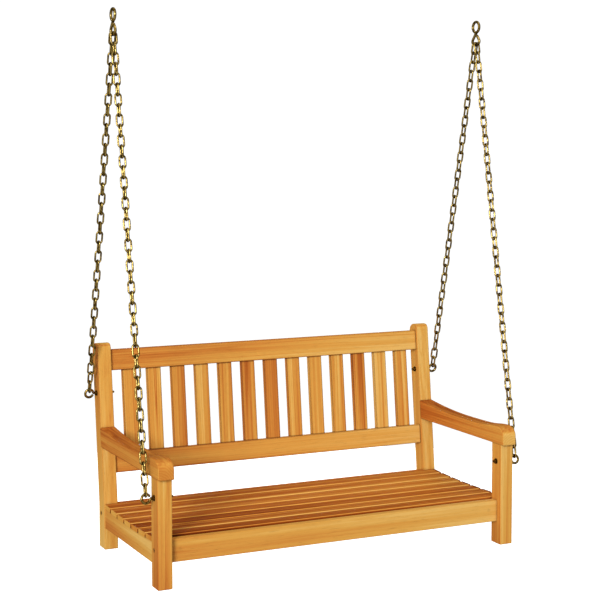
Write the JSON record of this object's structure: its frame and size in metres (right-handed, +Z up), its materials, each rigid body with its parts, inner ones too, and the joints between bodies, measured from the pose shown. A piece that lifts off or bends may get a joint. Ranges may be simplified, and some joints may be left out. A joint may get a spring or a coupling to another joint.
{
  "type": "porch swing",
  "caption": "Hanging two-seat wooden porch swing: slatted seat and raked slatted back between curved armrests, hung on paired link chains from S-hooks.",
  "frame": {"origin": "the hanging point: midway between the two upper S-hook loops, at the inside top of the loops where they bear", "axes": "+X to the right as seen by someone facing the front of the bench, -Y to the front of the bench, +Z up"},
  "size_m": [1.294, 0.6107, 1.6904],
  "materials": {
    "wood": "oiled hardwood, honey to red-brown, satin",
    "brass": "yellow-passivated, slightly aged, satin",
    "steel": "zinc-plated, dull"
  },
  "bodies": {
    "hooks": {"left_s_hook": "brass", "right_s_hook": "brass"},
    "cradle": {"top_links": "brass"},
    "left_front_chain": {"left_front_chain": "brass"},
    "left_rear_chain": {"left_rear_chain": "brass"},
    "right_front_chain": {"right_front_chain": "brass"},
    "right_rear_chain": {"right_rear_chain": "brass"},
    "bench": {"back_top_rail": "wood", "back_lower_rail": "wood", "back_slat_01": "wood", "back_slat_02": "wood", "back_slat_03": "wood", "back_slat_04": "wood", "back_slat_05": "wood", "back_slat_06": "wood", "back_slat_07": "wood", "back_slat_08": "wood", "back_slat_09": "wood", "back_slat_10": "wood", "back_slat_11": "wood", "back_slat_12": "wood", "back_slat_13": "wood", "seat_slat_1": "wood", "seat_slat_2": "wood", "seat_slat_3": "wood", "seat_slat_4": "wood", "seat_slat_5": "wood", "seat_slat_6": "wood", "seat_slat_7": "wood", "left_front_leg": "wood", "left_rear_post": "wood", "left_armrest": "wood", "left_side_rail": "wood", "right_front_leg": "wood", "right_rear_post": "wood", "right_armrest": "wood", "right_side_rail": "wood", "front_seat_rail": "wood", "rear_seat_rail": "wood", "centre_seat_rail": "wood", "rail_dowels": "wood", "slat_screws": "steel", "rail_bolts": "steel", "barrel_nuts": "steel", "eye_bolts": "brass", "eye_washers": "brass", "eye_nuts": "brass"}
  },
  "joints": [
    {"name": "swing", "type": "hinge", "parent": "hooks", "child": "cradle", "pos_m": [0, 0, -0.0457], "axis": [1, 0, 0], "range_deg": [-25, 25]},
    {"name": "sway", "type": "hinge", "parent": "cradle", "child": "left_front_chain", "pos_m": [-0.63, -0.00917, -0.09458], "axis": [0, 1, 0], "range_deg": [-5, 5]},
    {"name": "right_front_lean", "type": "hinge", "parent": "cradle", "child": "right_front_chain", "pos_m": [0.63, -0.00917, -0.09458], "axis": [0, 1, 0], "range_deg": [-5, 5]},
    {"name": "left_rear_lean", "type": "hinge", "parent": "cradle", "child": "left_rear_chain", "pos_m": [-0.63, 0.01145, -0.09409], "axis": [0, 1, 0], "range_deg": [-6.05, 6.05]},
    {"name": "right_rear_lean", "type": "hinge", "parent": "cradle", "child": "right_rear_chain", "pos_m": [0.63, 0.01145, -0.09409], "axis": [0, 1, 0], "range_deg": [-6.05, 6.05]},
    {"name": "bench_level", "type": "hinge", "parent": "left_front_chain", "child": "bench", "pos_m": [-0.63, -0.2567, -1.41387], "axis": [0, 1, 0], "range_deg": [-5, 5]}
  ],
  "couplings": [
    {"joint": "right_front_lean", "follows": "sway", "ratio": 1},
    {"joint": "left_rear_lean", "follows": "sway", "ratio": 1.2055},
    {"joint": "right_rear_lean", "follows": "sway", "ratio": 1.2055},
    {"joint": "bench_level", "follows": "sway", "ratio": -1}
  ]
}
